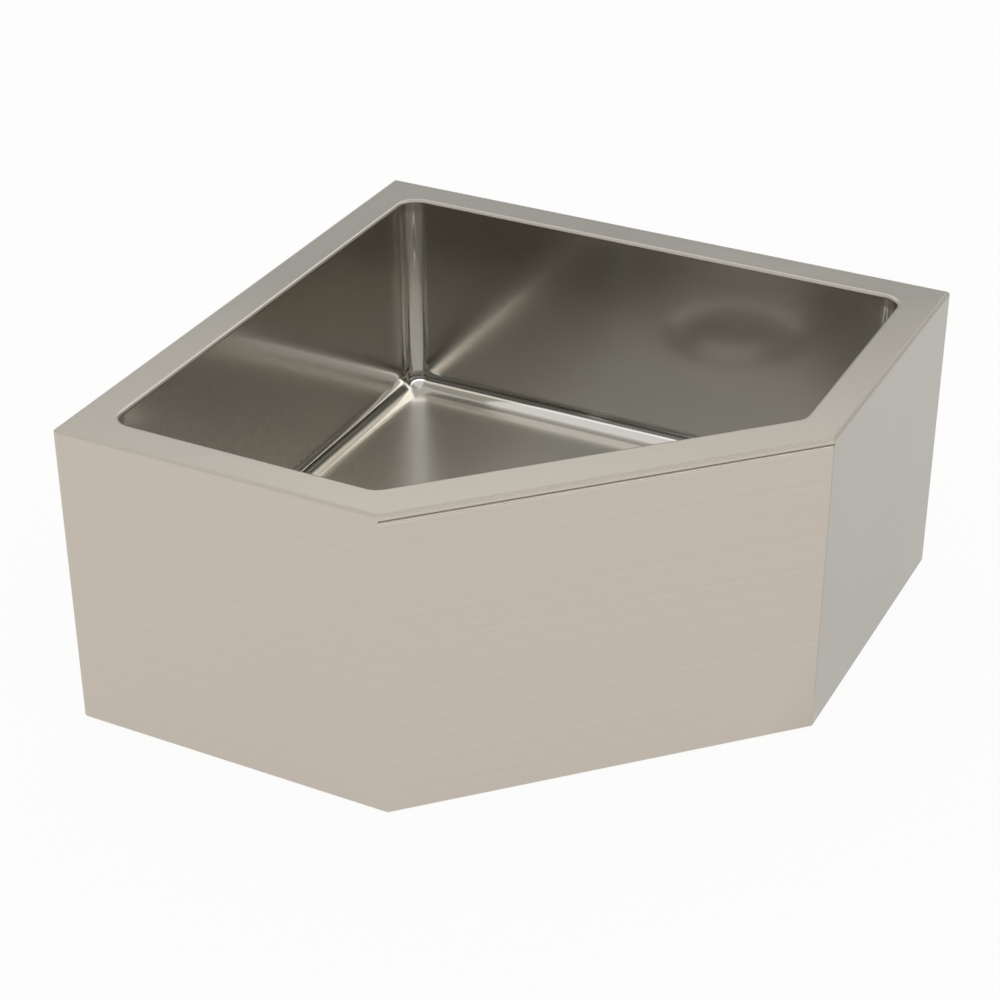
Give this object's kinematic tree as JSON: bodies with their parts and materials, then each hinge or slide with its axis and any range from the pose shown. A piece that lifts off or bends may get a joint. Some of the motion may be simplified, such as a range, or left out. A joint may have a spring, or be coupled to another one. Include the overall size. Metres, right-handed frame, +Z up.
{
  "type": "corner mop sink",
  "caption": "Floor-standing stainless steel corner mop sink with a diagonal front, flat rim, deep coved bowl, full skirt and a lift-out drain strainer.",
  "frame": {"origin": "on the room floor, under the middle of the sink's outer box", "axes": "+Z up, +Y towards the back corner of the room, +X to the right for someone who faces the diagonal front"},
  "size_m": [0.8594, 0.6576, 0.3048],
  "materials": {
    "satin_steel": "satin, polished along the length of each panel",
    "bowl_steel": "satin, brighter than the skirt",
    "channel_steel": "mill",
    "damping_pad": "matt",
    "drain_steel": "turned",
    "seal_rubber": "matt",
    "slip_plastic": "matt",
    "nut_brass": "as cast",
    "strainer_steel": "polished"
  },
  "bodies": {
    "sink": {"back_left_panel": "satin_steel", "back_right_panel": "satin_steel", "left_panel": "satin_steel", "right_panel": "satin_steel", "front_rim": "satin_steel", "front_apron": "satin_steel", "bowl_walls": "bowl_steel", "bowl_floor": "bowl_steel", "left_stiffener": "channel_steel", "right_stiffener": "channel_steel", "left_sound_pad": "damping_pad", "right_sound_pad": "damping_pad", "back_sound_pad": "damping_pad", "drain_body": "drain_steel", "drain_flange_washer": "seal_rubber", "drain_under_gasket": "seal_rubber", "drain_slip_washer": "slip_plastic", "drain_locknut": "nut_brass", "pipe_seal": "seal_rubber", "pipe_seal_nut": "nut_brass"},
    "strainer": {"strainer_plate": "strainer_steel", "lint_basket": "strainer_steel", "strainer_screw": "drain_steel", "strainer_nut": "drain_steel"}
  },
  "joints": [
    {"name": "strainer_lift", "type": "slide", "parent": "sink", "child": "strainer", "axis": [0, 0, 1], "range_m": [0, 0.26]}
  ]
}
